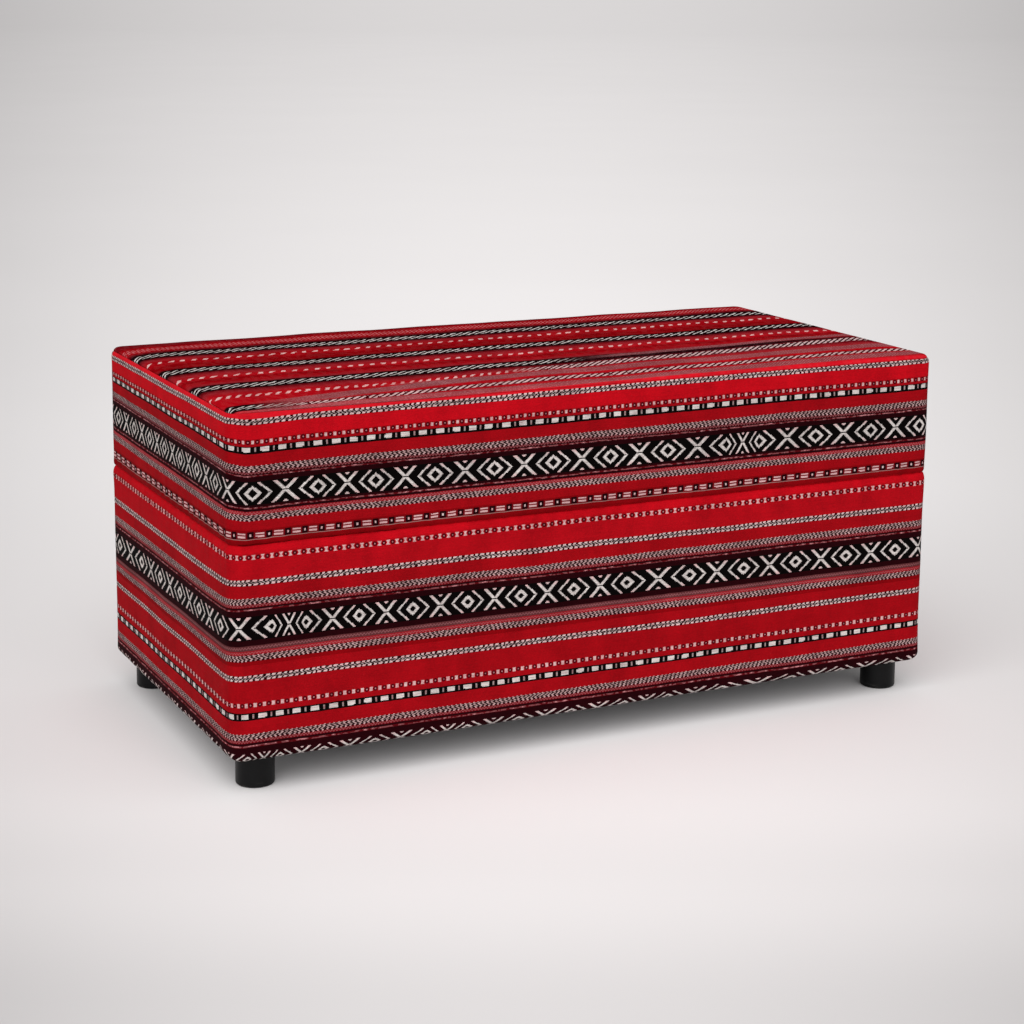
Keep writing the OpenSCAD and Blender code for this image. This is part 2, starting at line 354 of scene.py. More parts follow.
# a value between grid values, by Catmull-Rom curves along rows and columns
def between(field, row, col, closed):
    def weights(t):
        return [((-t + 2) * t - 1) * t / 2, ((3 * t - 5) * t * t + 2) / 2, ((-3 * t + 4) * t + 1) * t / 2,
                (t - 1) * t * t / 2]

    rows, cols = field.shape[:2]
    r = np.floor(row).astype(int)
    c = np.floor(col).astype(int)
    total = 0
    for a, wa in enumerate(weights(row - r)):
        ra = np.clip(r + a - 1, 0, rows - 1)
        for b, wb in enumerate(weights(col - c)):
            cb = (c + b - 1) % cols if closed else np.clip(c + b - 1, 0, cols - 1)
            total = total + field[ra[:, None], cb[None, :]] * wa[:, None] * wb[None, :]
    return total


clothFrames = 20


# How far a padded panel swells along its normals. Blender's cloth, pinned along its first and last rows
# (and columns if open), is pushed out by pressure for some frames. Swell = cap * tanh(move / cap).
def swellPanel(name, points, closed, care):
    rows, cols = points.shape[:2]
    normals = gridNormals(points, closed)
    corner, column = gridQuads(rows, cols, closed)
    faces = corner * cols + column % cols
    panel = meshPiece(name, points.reshape(-1, 3), faces, None, bpy.data.materials.new(name))
    held = np.zeros((rows, cols), bool)
    held[[0, -1]] = True
    if not closed:
        held[:, [0, -1]] = True
    group = panel.vertex_groups.new(name="held")
    group.add(np.flatnonzero(held.ravel()).tolist(), 1.0, "REPLACE")
    cloth = panel.modifiers.new("swell", "CLOTH")
    settings = {"quality": 5, "mass": 0.4, "tension_stiffness": care["stiff"], "bending_stiffness": 0.5,
                "compression_stiffness": care["stiff"] / 3, "shear_stiffness": care["stiff"] / 3,
                "use_pressure": True, "uniform_pressure_force": care["pressure"], "shrink_min": care["slack"],
                "vertex_group_mass": "held"}
    for key, value in settings.items():
        setattr(cloth.settings, key, value)
    cloth.settings.effector_weights.gravity = 0.0
    cloth.collision_settings.use_collision = False
    for step in range(1, clothFrames + 1):
        scene.frame_set(step)
    done = panel.evaluated_get(bpy.context.evaluated_depsgraph_get()).to_mesh()
    place = np.zeros(rows * cols * 3, np.float32)
    done.vertices.foreach_get("co", place)
    move = ((place.reshape(rows, cols, 3) - points) * normals).sum(2)
    scene.frame_set(1)
    bpy.data.objects.remove(panel)
    print(name, "swelled by", round(float(move.max()) * 1000, 1), "mm before its cap")
    return np.clip(care["cap"] * np.tanh(move / care["cap"]), -0.6 * mm, None)


# Columns round the body from its back-left corner: straight sides and rounded corners in turn. Each column
# has the signs of its corner's centre, which pass from one corner to the next along a side, and the angle
# at which it looks out; u is its way from the front-left corner.
def ringColumns(half, radius, longCells, shortCells, cornerCells):
    corners = np.array([(-1, 1), (-1, -1), (1, -1), (1, 1), (-1, 1)])
    sign, angle, u = [], [], []
    reached = -2 * half[1]
    for side in range(4):
        length, cells = (2 * half[0], longCells) if side % 2 else (2 * half[1], shortCells)
        a, b = corners[side:side + 2]
        straight = (a, cells, reached + radius, length - 2 * radius, 0)
        reached = reached + length
        for first, count, start, way, turn in (straight, (b, cornerCells, reached - radius, 2 * radius, 0.5)):
            t = np.arange(count) / count
            sign.append(first * (1 - t[:, None]) + b * t[:, None])
            angle.append(math.pi * (1 + side / 2 + turn * t))
            u.append(start + t * way)
    u.append([reached + radius])
    joined = [np.concatenate(x) for x in (sign, angle, u)]
    return dict(zip(("sign", "angle", "u"), joined), half=half, radius=radius)


# Points of a ring of fabric: centre of the corner + (radius + swell) * the column's look. Each row is inset,
# which shrinks its corner radius, and lies at its height.
def ringSurface(columns, inset, height, swell=0.0):
    inset = inset[:, None]
    radius = np.maximum(columns["radius"] - inset, 2 * mm)
    look = (np.cos(columns["angle"]), np.sin(columns["angle"]))
    x, y = [(columns["half"][k] - inset - radius) * columns["sign"][None, :, k] + (radius + swell) * look[k]
            for k in (0, 1)]
    z = height[:, None] + 0 * x if height.ndim == 1 else height
    return np.stack([x, y, z], 2)


# each column's u beside each row's way down, for a ring's uv map
def ringMap(columns, down):
    return np.stack(np.broadcast_arrays(columns["u"][None, :], down[:, None]), 2)


# A cap over a rounded rectangle: an even net of lines is bent down round its border. Near the corners a
# square of the net is eased into a quarter disc, x = a sqrt(1 - b^2 / 2); distance from the core then
# follows the profile (out, down).
def capSurface(half, radius, profile, cells, fine):
    core = (half[0] - radius, half[1] - radius)
    steps = np.hypot(np.diff(profile[:, 0]), np.diff(profile[:, 1]))
    way = np.concatenate([[0], np.cumsum(steps)])
    rim = np.linspace(0, way[-1], fine + 1)

    def netLine(reach, count):
        inner = np.linspace(-reach, reach, count + 1)
        return np.concatenate([-reach - rim[:0:-1], inner, reach + rim[1:]])

    px, py = np.meshgrid(netLine(core[0], cells[0]), -netLine(core[1], cells[1]))
    a = np.maximum(np.abs(px) - core[0], 0) / way[-1]
    b = np.maximum(np.abs(py) - core[1], 0) / way[-1]
    discA = a * np.sqrt(1 - b * b / 2) * np.sign(px)
    discB = b * np.sqrt(1 - a * a / 2) * np.sign(py)
    far = np.maximum(np.hypot(discA, discB), 1e-9)
    out = np.interp(far * way[-1], way, profile[:, 0])
    down = np.interp(far * way[-1], way, profile[:, 1])
    x = np.clip(px, -core[0], core[0]) + discA / far * out
    y = np.clip(py, -core[1], core[1]) + discB / far * out
    return np.stack([x, y, -down], 2), px, py


# points (across, down) on a quarter of an ellipse that turns from level to plumb, or the other way
def quarter(across, down, width, height, begin, finish, count):
    a = np.radians(np.linspace(begin, finish, count + 1))
    return np.stack([across + width * np.sin(a), down - height * np.cos(a)], 1)


seatLow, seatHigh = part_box("seat_border")
baseLow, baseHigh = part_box("base_border")
half = (seatHigh.x, seatHigh.y)
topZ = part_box("top_panel")[1].z
cornerRadius = 18 * mm
topBend = 13 * mm  # the bend between the top and the walls
seamTurn = math.radians(55)  # where the upper seam lies on that bend, down from the top
seatHang = 2.5 * mm  # how far the padded seat hangs over the lower seam
lowerSeam = (seatLow.z + baseHigh.z) / 2 - seatHang
footTop = baseLow.z
print("body", [round(2 * h, 4) for h in half], "top at", round(topZ, 4), "lower seam at", round(lowerSeam, 4))

# the wool cover: what its side weave repeats, in mm along the cloth (u) and down from the top edge (t)
# painted highlight: the cloth's red made brighter and pinker for the top bend, where light falls on it
bendHighlightRed = dye(208, 22, 36)
# painted light: the cloth's red made brighter where it faces the light, near the top and on the lip under the
# lower seam
litRed = dye(188, 10, 24)
red = dye(170, 10, 22)
deepRed = dye(153, 8, 18)
darkRed = dye(130, 4, 11)
rosyRed = dye(144, 28, 36)
wine = dye(110, 12, 20)
greyPink = dye(150, 112, 108)
maroon = dye(84, 8, 15)
inkMaroon = dye(34, 2, 6)
black = dye(6, 4, 4)
white = dye(214, 208, 204)
greyWhite = dye(188, 176, 173)
pink = dye(216, 146, 150)
dullPink = dye(92, 46, 48)
weaveEnd = 480
rampReach = 60  # a ramp this short still keeps narrow stripes sharp
sideWeave = {
    "stripes": [
        # from 0 the red is a painted highlight on the top bend, and from 13.4 it is painted brighter as light
        # falls near the top
        (0, bendHighlightRed), (6, inkMaroon), (13.4, litRed), (31, deepRed), (40.4, black), (49.6, deepRed),
        (64, inkMaroon), (72.2, maroon), (75, inkMaroon), (76.4, maroon), (78.2, inkMaroon), (84, black),
        (113.6, inkMaroon), (116.4, maroon), (118.4, inkMaroon), (121.4, rosyRed), (125.7, inkMaroon),
        # from 157 dark red is painted shade under the seat's overhang at the lower seam, and from 164.4 the
        # brighter red is a painted highlight where the base's lip faces up
        (133.2, deepRed), (145, darkRed), (147.4, wine), (156, greyPink), (157, darkRed), (164.4, litRed),
        (174, red), (206.8, inkMaroon), (214.4, deepRed), (230.1, inkMaroon), (237.5, wine),
        (241.2, inkMaroon), (243.4, maroon), (245.4, inkMaroon), (252.4, black), (281.8, inkMaroon),
        (288.6, dullPink), (294.8, rosyRed), (299.6, inkMaroon), (307.8, darkRed), (313, deepRed),
        (325.3, inkMaroon), (333, deepRed), (372.4, black), (381.6, deepRed), (398.5, inkMaroon),
        (406.4, wine), (410, inkMaroon), (412.6, maroon), (415.4, inkMaroon), (450, maroon), (457, rosyRed),
        (466, deepRed)],
    "herringbone": [68.2, 129.5, 233.8, 303.7, 402.4],
    "chain": [9.7, 210.6, 329.2],
    "strips": [73.6, 123.6, 239.3, 291.6, 297.2, 408.2],
    # centre, half width, flare, half height
    "dots": [(34.8, 1.7, 0.0, 2.2), (178.9, 1.0, 0.55, 3.0), (363.0, 1.9, 0.1, 2.6)],
    "blocks": [(44.3, 20.4, 0.0), (151.4, 14.1, 1.0), (377.0, 15.0, 0.0)],  # centre, first block, pinkness
    "fineLines": [77.4, 117.5, 244.4, 414.0],
    "figures": [99.0, 267.1, 437.6],
    # the middles of the diamonds and crosses in turn along u
    "marks": [
        [-452, -380, -310, -248, -181, -117, -47, 28, 110, 183.5, 261, 341, 422, 503, 586, 674, 722, 811,
         899],
        [-460, -357, -276, -194, -115, -36, 51, 93, 162, 232, 306, 379, 453, 529.5, 623, 705, 786, 866, 946],
        [-470, -400, -330, -260, -190, -120, -52, 20, 60, 116, 183, 253, 307, 379, 454, 531, 596, 678, 788,
         866, 949]],
    "figureLength": 80.0, "thread": 1.05, "stitch": 2.1,
}


# The count of figures passed at u: a straight line between the figures' middles, and even beyond the last.
# The ramp holds counts as shares of 40.
def figureCount(m, u, marks, length):
    counts = [(-500, 1 - (marks[0] + 500) / length)] + [(p, 1 + k) for k, p in enumerate(marks)]
    counts.append((1000, len(marks) + (1000 - marks[-1]) / length))
    stops = [(p, ((count / 40),) * 3 + (1.0,)) for p, count in counts]
    counted = m.split(m.ramp(u, -500, 1000, stops, "LINEAR"), "Color")[0]
    return counted * 40 + ((u - 1000) | 0.0) / length


# Way of t from the centre of the nearest row, then what else that row holds. A stepped ramp, whose steps
# lie half way between rows, keeps each number as a share of 1000.
def nearest(m, t, rows):
    centres = [row[0] for row in rows]
    edges = [0.0] + [(a + b) / 2 for a, b in zip(centres, centres[1:])]
    stops = [(e, (*(value / 1000 for value in row), 1.0)) for e, row in zip(edges, rows)]
    centre, first, second = [part * 1000 for part in m.split(m.ramp(t, 0.0, weaveEnd, stops), "Color")]
    return t - centre, first, second


# way of t from the nearest of some centres, where the rows hold nothing else
def fromNearest(m, t, centres):
    return nearest(m, t, [(c, 0, 0) for c in centres])[0]


# tone and relief of single threads: rows one thread apart, stitches that step by half from row to row
def threadWork(m, uvMap, u, t, thread, stitch):
    row = m.calc("FLOOR", t / thread)
    along = u / stitch + row * 0.5
    cell = m.make("ShaderNodeCombineXYZ", {}, {0: m.calc("FLOOR", along), 1: row})
    chance = m.make("ShaderNodeTexWhiteNoise", {"noise_dimensions": "2D"}, {"Vector": cell})
    bulge = m.calc("SINE", t * (math.pi / thread)) * m.calc("SINE", along * math.pi)
    relief = m.calc("SQRT", abs(bulge) + 0.02)
    streak = m.noise(uvMap, (14.0, 620.0, 1.0), 2.0, 0.6)
    cloud = m.noise(uvMap, (24.0, 15.0, 1.0), 3.0, 0.6)
    tone = 1.0 + (chance - 0.5) * 0.2 + (streak - 0.5) * 0.3 + (cloud - 0.5) * 0.8
    return chance, relief, tone


# How far down the weave a point lies: the drop below the top edge, stretched a little in its middle,
# sinking near the front-left corner and out of line on the left end, which the back wall leads up to.
def weaveDrop(m, u, v):
    front = (u / 1000).clamp()
    level = v * 1.0462 - 5.1 - v * v * 0.000052 + front * (2.4 - v * 0.012)
    climb = ((u - 100) / 600).clamp()
    level = level + climb * ((((1 - v / 175) * 4.2) | -1.8) + ((((v - 330) / 40) | 0.0) & 1.6))
    level = level + ((v - 417) | 0.0) * 0.5
    away = (u - 26) / ((u > 26) * 27 + 15)
    sunk = m.calc("POWER", 2.718, -1 * away * away) * (((1 - v / 260) | 0.0) * 2.4)
    leftEnd = ((20 - u) / 50).clamp() * (0.6 - ((u / 1000 | -0.5) & 0.0) * 1.4)
    backWall = (((u - 2000) / 500) | 0.0) * 1.3
    upper = (v - 93) / 75
    lower = (v - 270) / 80
    skew = ((1 - upper * upper) | 0.0) * 7.5 - ((1 - lower * lower) | 0.0) * 4.5
    return level - sunk + (leftEnd | backWall) * skew


# The side cloth: a stepped ramp for the stripes, then each woven figure laid over its own stripes. With x
# the way from a figure's middle and y from its stripe's middle, a diamond is a band of x + 1.15 y, an arm
# of the cross is a band of (length / 2 - x) - 1.05 y, and both are rounded to whole threads.
def sideWool(care):
    m = Finish("woven wool, sides")
    uvMap, along, down = m.weave()
    shake = m.noise(uvMap, 95.0, 1.0) - 0.5
    u = along + shake * 1.2
    t = weaveDrop(m, along, down) + (m.noise(uvMap, 7.0, 1.0) - 0.5) * 2.4 + shake * 0.9
    chance, relief, tone = threadWork(m, uvMap, u, t, care["thread"], care["stitch"])
    lean = (m.noise(uvMap, (11.0, 55.0, 1.0), 1.0) > 0.5) * 2 - 1
    worn = m.noise(uvMap, (90.0, 60.0, 1.0))

    colour = None
    stripes = care["stripes"]
    for low in range(0, weaveEnd, rampReach):
        inside = [s for s in stripes if low < s[0] < low + rampReach]
        before = [s for s in stripes if s[0] <= low][-1]
        part = m.ramp(t, low, low + rampReach, [(low, before[1])] + inside)
        colour = part if colour is None else m.mix(t > low, colour, part)

    # rosy strips beside the herringbone: a faint zigzag
    y = fromNearest(m, t, care["strips"])
    zigzag = abs(y - u.fold(4.2) * 1.2 + 1.3) < 0.7
    colour = m.mix(zigzag * (abs(y) < 1.8) * 0.22, colour, pink)

    # herringbone rows: fine slanted threads with a lean that turns, between two rows of pale dots
    y = fromNearest(m, t, care["herringbone"])
    hatch = (((u + (y + 1.3).fold(5.6) * lean * 1.7).fold(6.0) - 1.4) * 2.2).clamp()
    herring = abs(y) < 4.0
    tips = (abs(y) > 2.9) * ((u + (y > 0) * 3.0).fold(6.0) > 1.9)
    threads = m.mix(hatch, dye(36, 14, 16), m.mix(chance, dye(136, 102, 102), dye(196, 164, 162)))
    threads = m.mix(tips, threads, m.mix(chance, dye(180, 106, 112), dye(214, 176, 176)))
    colour = m.mix(herring * (1 - (abs(y) > 2.9) * (1 - tips)), colour, threads)

    # chain rows: pale dashes above and below a dark and grey zigzag
    y = fromNearest(m, t, care["chain"])
    dash = (abs(y) > 1.4) * ((u + (y > 0) * 3.6 + y * 0.5 + shake * 5).fold(7.2) < 2.1)
    middle = (abs(y) < 1.6) * ((u + y * lean * 1.6).fold(4.8) > 1.4)
    chain = (dash | middle) * (abs(y) < 3.5)
    zigzag = m.mix(chance, dye(112, 80, 80), greyWhite)
    colour = m.mix(chain, colour, m.mix(dash, zigzag, m.mix(worn, white, pink)))

    # rows of dots or bow-ties, with a dark ring round a dim dot between them
    y, waist, flare = nearest(m, t, [row[:3] for row in care["dots"]])
    tall = nearest(m, t, [(row[0], row[3], 0) for row in care["dots"]])[1]
    from0 = u.fold(11.4, 6.0)
    side = 5.7 - from0
    gone = m.calc("SQRT", side * side + y * y)
    colour = m.mix((gone < 2.9) * (abs(y) < 3.4), colour, dye(78, 4, 12))
    colour = m.mix((gone < 0.9) * (abs(y) < 3.4) * (0.3 + chance * 0.6), colour, pink)
    dot = (from0 < waist + flare * abs(y)) * (abs(y) < tall)
    colour = m.mix(dot * (0.62 + chance * 0.3), colour, m.mix(worn, white, pink))

    # rows of blocks: long pale blocks, and a small bar or a dotted square in each dark gap
    y, first, rosy = nearest(m, t, care["blocks"])
    loose = (m.noise(uvMap, (16.0, 9.0, 1.0), 1.0) - 0.5) * 9
    from0 = (u - first + loose).fold(22.4)
    parted = rosy * (abs(y + 0.3) < 0.8)
    bitten = (worn > 0.6) * (abs(y) > 1.9)
    block = (from0 < 5.2 - bitten * 2.4) * (abs(y) < 2.9) * (1 - parted)
    bar = (from0 > 10.1) * (abs(y) < 2.7 - rosy * 1.2)
    colour = m.mix(rosy * (from0 > 7.3) * (abs(y) < 4.4), colour, inkMaroon)
    streaks = ((m.noise(uvMap, (60.0, 900.0, 1.0), 1.0) - 0.42) * 4).clamp()
    pale = m.mix(rosy * 0.6, m.mix(streaks * 0.6, white, dye(160, 120, 122)), pink)
    colour = m.mix(block, colour, pale)
    colour = m.mix(bar * (0.45 + rosy * 0.4), colour, m.mix(chance, pink, white))

    # fine lines: dim broken dashes with a few bright ones
    y = fromNearest(m, t, care["fineLines"])
    broken = m.noise(uvMap, (150.0, 300.0, 1.0), 1.0)
    glint = (abs(y) < 0.9) * ((broken > 0.48) * 0.22 + (broken > 0.64) * 0.5)
    colour = m.mix(glint, colour, pink)

    # diamonds and crosses; the second row has smaller diamonds and crosses parted in two
    y = fromNearest(m, t, care["figures"])
    length = care["figureLength"]
    counts = [figureCount(m, u, marks, length) for marks in care["marks"]]
    second = t > 180
    count = counts[0] + second * (counts[1] - counts[0])
    count = count + (t > 350) * (counts[2] - count)
    x, y, raised = [m.calc("SNAP", way + 0.6, 1.3)
                    for way in (count.fold(1.0) * length, abs(y), abs(y + 1.1 - second * 1.1))]
    slant = x + y * 1.15
    ring = (slant > 6.0 - second * 1.6) * (slant < 11.4 - second * 1.2)
    chevron = (slant > 20.8) * (slant < 24.4)
    away = length / 2 - x
    arm = (abs(away - raised * 1.05) < 2.3) * (raised > second * 0.9)
    tip = (y > 11.2) * (away < (y - 11.2) * 1.3 + 0.8)
    figure = (ring | chevron | arm | tip) * (y < 13.2 + second)
    rosyEnd = (((y - 8) / 6) | 0.0) * chance & 0.6
    colour = m.mix(figure, colour, m.mix(rosyEnd, m.mix(chance, greyWhite, white), pink))

    pale = figure | herring | chain | dot | block
    # painted shade: all the side cloth's colours are made 6 % darker than the same threads on top, against
    # the lamp that lights the sides more
    colour = m.shade(colour, tone * 0.94)
    height = relief * 0.7 + pale * 0.25 + m.noise(uvMap, 1500.0, 1.0) * 0.35
    return m.finish(colour, 0.84 + (chance - 0.5) * 0.12, 0.03, (height, 0.75, 0.35 * mm))


# the top's weave, in mm from the left end (x) and from the back edge (q): centre = start + rise * x
topWeave = {
    "grounds": [(0, wine), (10, darkRed), (22, deepRed), (46, deepRed), (56, wine), (66, inkMaroon),
                (101, inkMaroon), (109, wine), (118, rosyRed), (130, deepRed), (150, deepRed),
                (164, darkRed), (185, darkRed), (195, inkMaroon), (225, inkMaroon), (234, wine),
                (244, rosyRed), (270, red), (285, darkRed), (300, deepRed), (314, rosyRed),
                (322, inkMaroon), (353, inkMaroon), (362, wine), (374, rosyRed), (392, red), (470, red),
                # from 480 the red is a painted highlight on the front bend
                (480, bendHighlightRed)],
    # centre, rise, half width of the core, from x, to x
    "ropes": [(84.0, 0.0, 10.5, -100, 1100), (209.0, -0.003, 10.0, -100, 1100),
              (338.0, -0.005, 10.5, -100, 570), (470.0, -0.03, 9.0, -100, 120)],
    # centre, rise, period, half height, from x, to x
    "dashes": [(136.5, 0.0, 15.4, 4.8, -100, 1100), (266.0, -0.008, 15.4, 4.8, -100, 1100),
               (403.0, -0.008, 12.6, 7.0, -100, 300), (428.0, -0.105, 12.6, 6.0, 250, 470)],
    "slashes": [(418.0, -0.0785, 15.0, 430, 1100), (480.0, -0.075, 9.0, 60, 480),
                (459.0, -0.0270, 11.0, 380, 1100)],
    "hazes": [(424.0, -0.030, 12.0, 250, 1100), (492.0, -0.0345, 10.0, 20, 1100),
              (371.0, -0.068, 7.0, 560, 1100), (466.0, -0.14, 12.0, 60, 420)],
    "thread": 1.05, "stitch": 2.1,
}


# The top cloth: ropes are black bands with slanted pale strokes inside, dashes are rows of short pale bars,
# hazes are bands of dull pink threads; each has a straight middle line and fades in and out along x.
def topWool(care):
    m = Finish("woven wool, top")
    uvMap, along, down = m.weave()
    shake = m.noise(uvMap, 90.0, 1.0) - 0.5
    x = along + 25 + shake * 1.5
    # the cloth lies a little askew, and its last stripe takes the whole front bend
    level = down - 20.4 + (along - 500) * (0.028 - down * 0.000047) + ((down - 490) | 0.0) * 1.5
    q = level + (m.noise(uvMap, 6.0, 1.0) - 0.5) * 3.0 + shake * 2.0
    chance, relief, tone = threadWork(m, uvMap, x, q, care["thread"], care["stitch"])
    colour = m.ramp(q, 0, 520, care["grounds"], "LINEAR")
    streak = m.noise(uvMap, (16.0, 330.0, 1.0), 3.0, 0.6)
    worn = m.noise(uvMap, (120.0, 60.0, 1.0))

    # 1 between two ends along x, fading over 60 mm inside them
    def within(start, stop):
        return ((x - start) / 60).clamp() * ((stop - x) / 60).clamp()

    # fine slanted threads over all the red, and a row of dotted dashes by the back edge
    thread = (x + q * 1.2).fold(5.2) > 1.5
    colour = m.mix(thread * (worn > 0.5) * 0.05, colour, pink)
    y = q - 34
    dotted = (abs(y) < 11) * ((x + y * 0.9).fold(6.8) < 1.6) * ((y + 5).fold(11.0) > 1.8)
    colour = m.mix(dotted * 0.5, colour, pink)
    for start, rise, wide, low, high in care["hazes"]:
        y = abs(q - start - x * rise)
        soft = ((1.25 - y / wide) * 3).clamp()
        thick = soft * within(low, high) * (0.45 + streak * 0.6)
        colour = m.mix(thick, colour, m.mix(thread * chance, dye(128, 62, 68), dye(172, 130, 132)))
    for start, rise, period, tall, low, high in care["dashes"]:
        y = q - start - x * rise
        bar = (abs(y) < tall) * ((x + y * 0.6 + shake * 6).fold(period) < period * 0.2)
        colour = m.mix(bar * within(low, high) * 0.85, colour, m.mix(chance, dye(240, 140, 140), white))
    for start, rise, wide, low, high in care["slashes"]:
        y = q - start - x * rise
        stroke = ((x + y * 1.2).fold(10.4) < 2.7) * (abs(y) < wide * 0.75) * (worn < 0.62)
        ground = m.mix(abs(y) < wide * 0.7, dye(110, 30, 38), inkMaroon)
        shown = (abs(y) < wide) * within(low, high)
        colour = m.mix(shown * 0.9, colour, m.mix(stroke, ground, m.mix(streak, pink, white)))
    for start, rise, wide, low, high in care["ropes"]:
        y = q - start - x * rise
        soft = ((wide + 9 - abs(y)) / 4).clamp()
        stroke = ((x + y * 1.3 + shake * 6).fold(12.4) < 1.4 + worn * 1.5) * (abs(y) < wide)
        strand = m.mix(stroke, dye(22, 8, 10), m.mix(chance, greyWhite, white))
        colour = m.mix(soft * within(low, high), colour, strand)
    colour = m.shade(colour, tone)
    height = relief * 0.7 + m.noise(uvMap, 1500.0, 1.0) * 0.35
    return m.finish(colour, 0.86 + (chance - 0.5) * 0.12, 0.0, (height, 0.75, 0.35 * mm))


sideCloth = sideWool(sideWeave)
topCloth = topWool(topWeave)
print("wool made")

seatCare = {"cloth": 1.4 * mm, "tab": 5 * mm, "upperLip": 1.6 * mm, "lowerLip": (4.0 * mm, 6.0 * mm),
            "rowStep": 6 * mm, "cap": 1.0 * mm, "pressure": 4.0, "stiff": 30.0, "slack": 0.0,
            "pucker": 0.7 * mm, "puckerReach": 13 * mm, "ripple": 0.25 * mm}
baseCare = {"cloth": 1.2 * mm, "tab": 9 * mm, "upperLip": (4.5 * mm, 12.0 * mm), "edge": 12 * mm,
            "turnUnder": 28 * mm, "rowStep": 6.5 * mm, "cap": 0.9 * mm, "pressure": 3.0, "stiff": 40.0,
            "slack": 0.0, "pucker": 0.6 * mm, "puckerReach": 15 * mm, "edgePucker": 0.35 * mm,
            "edgeReach": 16 * mm, "ripple": 0.3 * mm, "wave": 0.4 * mm}
topCare = {"cloth": 1.4 * mm, "upperLip": 1.6 * mm, "tab": 5 * mm, "cap": 1.8 * mm, "pressure": 4.0,
           "stiff": 40.0, "slack": 0.0, "net": (83, 41), "ripple": 0.35 * mm, "fineRipple": 0.12 * mm,
           "sunk": 0.6 * mm}
ringCells = {"longCells": 192, "shortCells": 92, "cornerCells": 10}
coarseCells = {"longCells": 81, "shortCells": 39, "cornerCells": 2}


# A border of the cover: profile rows of (inset, height) carried round the body and moved out by swell +
# puckers. The swell comes from a coarse panel by share of the wall and fades where the cloth turns in;
# drops is each row's way down the cloth.
def ringPiece(name, profile, drops, wall, care, puckers, lower=None):
    columns = ringColumns(half, cornerRadius, **ringCells)
    coarse = ringColumns(half, cornerRadius, **coarseCells)
    count = max(int(round((wall[0] - wall[1]) / (12 * mm))), 6)
    heights = np.linspace(wall[0], wall[1], count + 1)
    move = swellPanel(name, ringSurface(coarse, 0 * heights, heights), True, care)
    u = columns["u"][:-1]
    inset, level = profile[:, :1], profile[:, 1:]
    rowPlace = np.clip((wall[0] - profile[:, 1]) / (wall[0] - wall[1]), 0, 1) * count
    colPlace = np.interp(u, coarse["u"], np.arange(len(coarse["u"])))
    out = 1 - np.clip(inset / (6 * mm), 0, 1)
    swell = between(move, rowPlace, colPlace, True) * out + puckers(u[None, :], level)
    swell = swell * (0.35 + 0.65 * out)
    height = level + 0 * swell
    if lower is not None:
        height = height - lower(u[None, :], level, inset)
    outer = ringSurface(columns, profile[:, 0], height, swell)
    inner = outer - gridNormals(outer, True) * care["cloth"]
    return shellPiece(name, outer, inner, ringMap(columns, drops), True, sideCloth)


# rows (inset, height) straight down a wall, about one step apart
def wallRows(high, low, step):
    heights = np.linspace(high, low, max(int(round((high - low) / step)), 2) + 1)[1:-1]
    return np.stack([0 * heights, heights], 1)


# rows of a quarter ellipse that leaves the wall: inset = wide * (1 - cos a), height = start + tall * sin a
def lipRows(wide, start, tall, count):
    a = np.radians(np.linspace(0, 90, count))
    return np.stack([wide - wide * np.cos(a), start + tall * np.sin(a)], 1)


# 1 up to a line and fading beyond it over a length
def fade(distance, length):
    return np.exp(-np.maximum(distance, 0) / length)


# the way along a profile, set so that it equals the drop below the body's top on the wall
def clothDrops(profile, wallRow):
    way = np.concatenate([[0], np.cumsum(np.hypot(np.diff(profile[:, 0]), np.diff(profile[:, 1])))])
    return way - way[wallRow] + topZ - profile[wallRow, 1]


# Profile (out, down) over the top bend to the seam from the top (way 1) or from the wall (way -1): an arc
# about the bend's centre, a lip that touches both that arc and the seam's line, and a tab along that line.
def seamBend(care, way):
    lip = care["upperLip"]
    lean = math.asin((lip + 0.05 * mm) / (topBend - lip))
    a = np.linspace(0 if way > 0 else math.pi / 2, seamTurn - way * lean, 11)
    b = np.linspace(seamTurn - way * lean, seamTurn + way * math.pi / 2, 7)[1:]
    arc = np.stack([np.sin(a), -np.cos(a)], 1) * topBend
    middle = np.array([math.sin(a[-1]), -math.cos(a[-1])]) * (topBend - lip)
    turn = middle + np.stack([np.sin(b), -np.cos(b)], 1) * lip
    inward = -np.array([math.sin(seamTurn), -math.cos(seamTurn)]) * care["tab"]
    tab = turn[-1] + inward * np.array([[0.4], [1.0]])
    return np.concatenate([arc, turn, tab]) + np.array([cornerRadius - topBend, topBend])


# the seat's border: bend to the upper seam, upright wall, lip drawn in to the lower seam, and its tab inside
def makeSeatBorder(care):
    wide, tall = care["lowerLip"]
    bend = seamBend(care, -1)[::-1]
    upper = np.stack([cornerRadius - bend[:, 0], topZ - bend[:, 1]], 1)
    low = lowerSeam + 0.1 * mm
    end = np.array([[wide + 2 * mm, low], [care["tab"] + 3 * mm, low]])
    wall = (topZ - topBend, low + tall)
    profile = np.concatenate([upper, wallRows(*wall, care["rowStep"]), lipRows(wide, wall[1], -tall, 9), end])
    drops = np.minimum(clothDrops(profile, len(upper) - 1), topZ - lowerSeam)

    def puckers(u, height):
        tug = ripples(11, 5, 24 * mm, u) * fade(height - wall[1], care["puckerReach"]) * care["pucker"]
        return tug + ripples(12, 6, 130 * mm, u, height) * care["ripple"]

    piece = ringPiece("seatBorderCover", profile, drops, wall, care, puckers)
    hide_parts("seat_border")
    return piece


